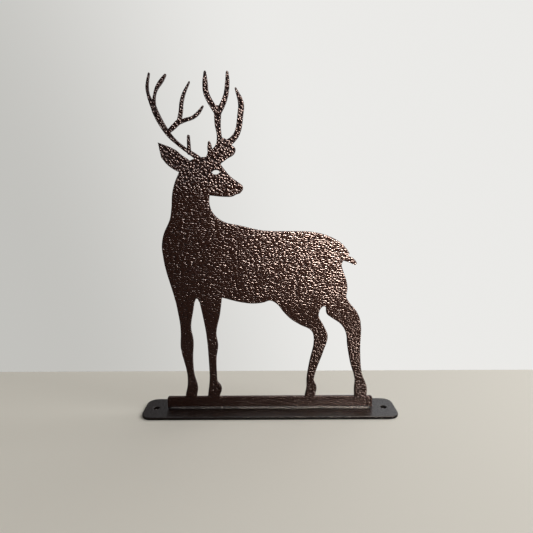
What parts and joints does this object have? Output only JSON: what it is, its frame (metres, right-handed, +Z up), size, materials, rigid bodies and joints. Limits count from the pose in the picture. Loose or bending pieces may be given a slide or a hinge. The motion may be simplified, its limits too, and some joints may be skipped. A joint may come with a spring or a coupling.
{
  "type": "stag ornament",
  "caption": "Flat stag ornament cut from hammer-finished plate, looking back over its shoulder, welded upright on a slim base plate with a screw hole near each end.",
  "frame": {"origin": "middle of the base plate's underside, on the surface that the ornament stands on", "axes": "+X along the base plate towards the stag's rump and tail, +Y from the front face to the back, +Z up"},
  "size_m": [0.2502, 0.04, 0.3233],
  "materials": {
    "base_bronze": "dark bronze hammer-finish paint, glossy",
    "stag_bronze": "bronze hammer-finish paint, glossy",
    "antler_bronze": "bronze hammer-finish paint, glossy",
    "weld_bronze": "weld seam under the same hammer-finish paint"
  },
  "bodies": {
    "root": {"base_plate": "base_bronze", "stag_plate": "stag_bronze", "far_antler": "antler_bronze", "front_weld": "weld_bronze", "back_weld": "weld_bronze", "antler_weld": "weld_bronze"}
  },
  "joints": []
}
